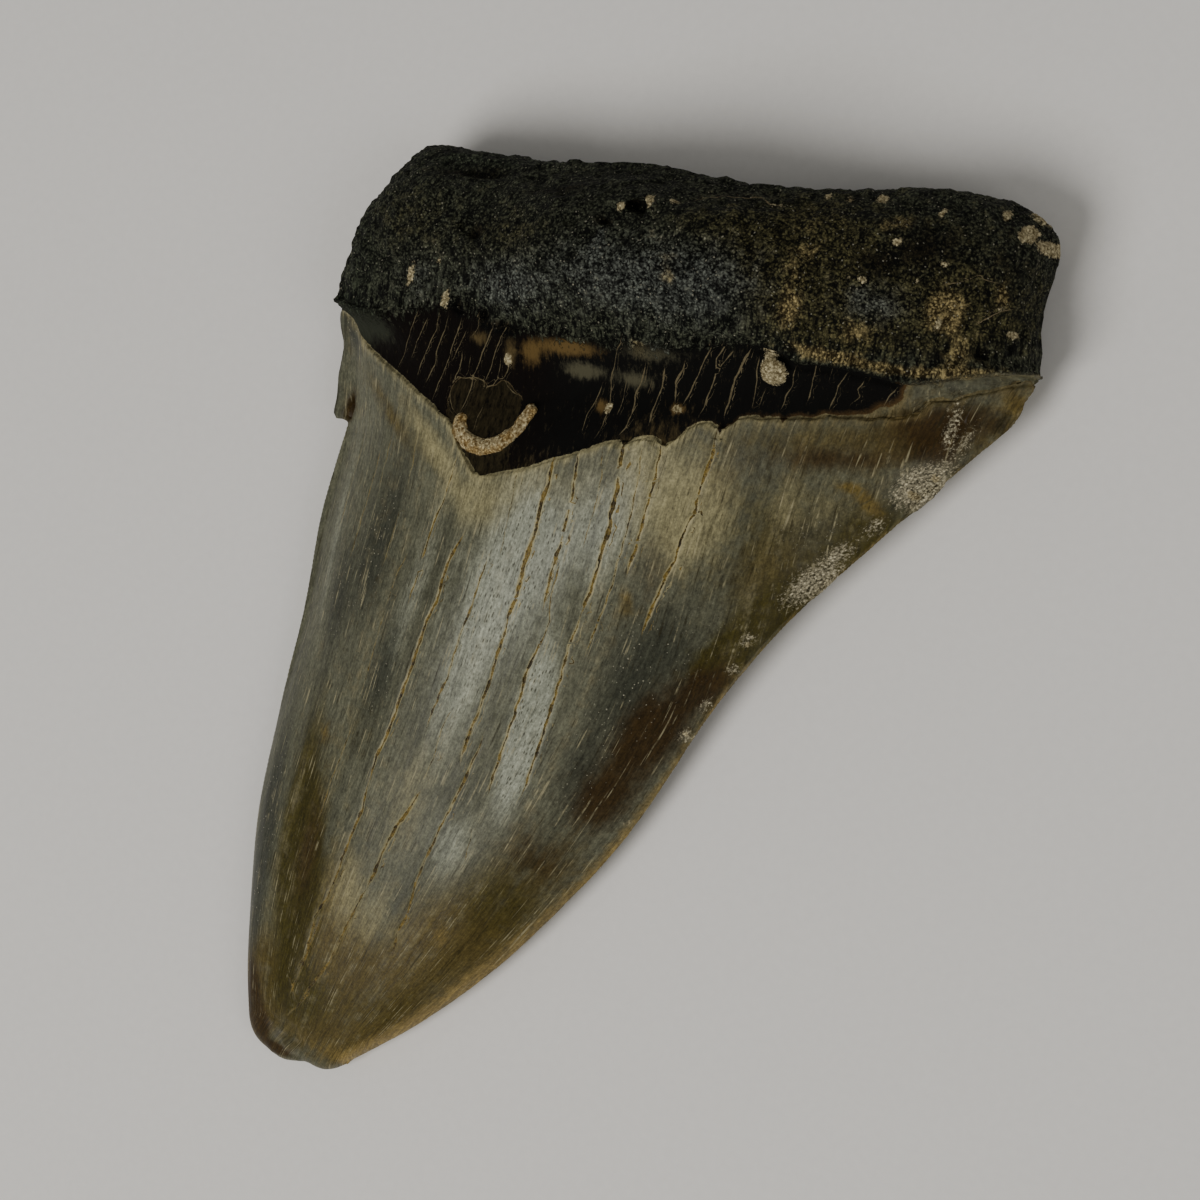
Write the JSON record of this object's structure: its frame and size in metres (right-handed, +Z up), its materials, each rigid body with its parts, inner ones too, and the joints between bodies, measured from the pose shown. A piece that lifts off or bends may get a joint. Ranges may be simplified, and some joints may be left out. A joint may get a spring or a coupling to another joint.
{
  "type": "fossil megalodon tooth",
  "caption": "Large fossil shark tooth with a dark rough root, a black band and a worn grey-olive enamel crown, lying on its flat outer face.",
  "frame": {"origin": "on the resting surface, below the centre of the tooth's box", "axes": "+Y from the tip to the root, +Z up from the flat outer (labial) face to the rounded inner (lingual) face, +X along the root towards the long cutting edge's side"},
  "size_m": [0.0938, 0.1142, 0.0257],
  "materials": {
    "fossil_tooth": "worn semi-gloss enamel on the crown, glossy black band, matt gritty root"
  },
  "bodies": {
    "root": {"tooth": "fossil_tooth"}
  },
  "joints": []
}
